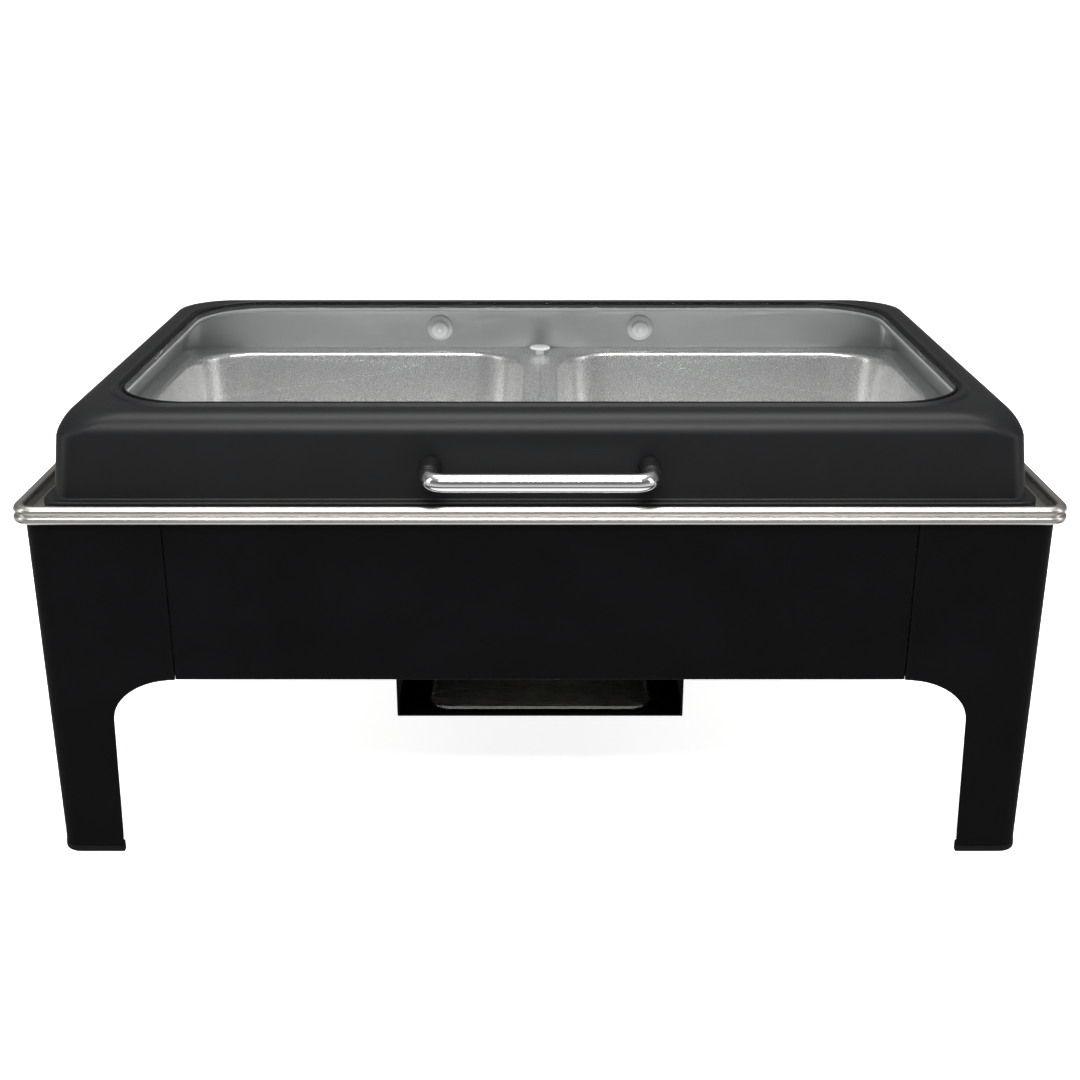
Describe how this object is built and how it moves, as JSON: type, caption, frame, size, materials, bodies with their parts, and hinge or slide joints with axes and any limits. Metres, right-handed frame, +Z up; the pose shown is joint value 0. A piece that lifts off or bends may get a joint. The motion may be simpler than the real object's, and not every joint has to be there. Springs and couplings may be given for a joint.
{
  "type": "electric buffet server",
  "caption": "Electric buffet server with two food pans over a water bath, a hinged windowed lid, a four-legged stand and a heater unit underneath.",
  "frame": {"origin": "on the surface it stands on, under the middle of its bounding box", "axes": "+X to the right seen from the front, +Y to the back where the lid hinge is, +Z up"},
  "size_m": [0.568, 0.3922, 0.2606],
  "materials": {
    "stand_black": "fine matte black powder coat",
    "lid_black": "satin black powder coat outside, bare satin stainless steel inside",
    "rim_steel": "brushed stainless steel",
    "satin_steel": "satin pressed stainless steel",
    "chrome": "polished",
    "zinc_steel": "zinc plated steel",
    "cast_aluminium": "cast",
    "window_glass": "tempered, faintly grey",
    "clear_silicone": "clear silicone",
    "foot_rubber": "matte black",
    "black_plastic": "fine moulded texture",
    "element_sheath": "heat-tinted sheath",
    "white_ceramic": "unglazed ceramic",
    "mineral_wool": "fibrous pad",
    "amber_lens": "translucent moulded lens",
    "red_rocker": "moulded",
    "brass": "plated contact pins"
  },
  "bodies": {
    "stand": {"leg_front_left": "stand_black", "leg_front_right": "stand_black", "leg_back_left": "stand_black", "leg_back_right": "stand_black", "apron_front": "stand_black", "apron_back": "stand_black", "apron_left": "stand_black", "apron_right": "stand_black", "heater_rail_front": "stand_black", "heater_rail_rear": "stand_black", "heater_bracket": "stand_black", "rear_panel": "stand_black", "foot_front_left": "foot_rubber", "foot_front_right": "foot_rubber", "foot_back_left": "foot_rubber", "foot_back_right": "foot_rubber", "corner_bracket_front_left": "zinc_steel", "corner_bracket_front_right": "zinc_steel", "corner_bracket_back_left": "zinc_steel", "corner_bracket_back_right": "zinc_steel", "heat_shield": "zinc_steel", "thermostat_body": "zinc_steel", "switch_housing": "black_plastic", "power_inlet": "black_plastic", "thermal_cutout": "black_plastic", "wire_inlet_to_switch": "black_plastic", "wire_thermostat_to_element": "black_plastic", "heating_plate": "cast_aluminium", "heating_element": "element_sheath", "terminal_block": "white_ceramic", "insulation_pad": "mineral_wool", "pilot_lamp": "amber_lens", "inlet_pins": "brass"},
    "reflector_tray": {"reflector_tray": "satin_steel"},
    "thermostat_dial": {"thermostat_knob": "black_plastic", "thermostat_shaft": "zinc_steel"},
    "power_switch": {"switch_rocker": "red_rocker"},
    "water_pan": {"water_pan": "rim_steel", "food_pan_left": "satin_steel", "food_pan_right": "satin_steel", "pan_bumper": "clear_silicone", "hinge_base": "zinc_steel", "hinge_pin": "zinc_steel", "hinge_damper": "stand_black"},
    "lid": {"lid_shell": "lid_black", "window_glass": "window_glass", "window_gasket": "foot_rubber", "window_retainer": "satin_steel", "lid_handle": "chrome", "handle_ferrule_left": "black_plastic", "handle_ferrule_right": "black_plastic", "handle_screw_left": "zinc_steel", "handle_screw_right": "zinc_steel", "hinge_arm_left": "zinc_steel", "hinge_arm_right": "zinc_steel", "hinge_bolt_left": "zinc_steel", "hinge_bolt_right": "zinc_steel", "bolt_cap_left": "clear_silicone", "bolt_cap_right": "clear_silicone"}
  },
  "joints": [
    {"name": "water_pan_lift", "type": "slide", "parent": "stand", "child": "water_pan", "axis": [0, 0, 1], "range_m": [0, 0.12]},
    {"name": "lid_hinge", "type": "hinge", "parent": "water_pan", "child": "lid", "pos_m": [0, 0.191, 0.214], "axis": [-1, 0, 0], "range_deg": [0, 90]},
    {"name": "reflector_tray_slide", "type": "slide", "parent": "stand", "child": "reflector_tray", "axis": [0, -1, 0], "range_m": [0, 0.1]},
    {"name": "thermostat_knob_turn", "type": "hinge", "parent": "stand", "child": "thermostat_dial", "pos_m": [-0.054, 0.14, 0.0875], "axis": [0, 1, 0], "range_deg": [0, 270]},
    {"name": "switch_rocker_tilt", "type": "hinge", "parent": "stand", "child": "power_switch", "pos_m": [0, 0.127, 0.0875], "axis": [0, 0, 1], "range_deg": [0, 14]}
  ]
}
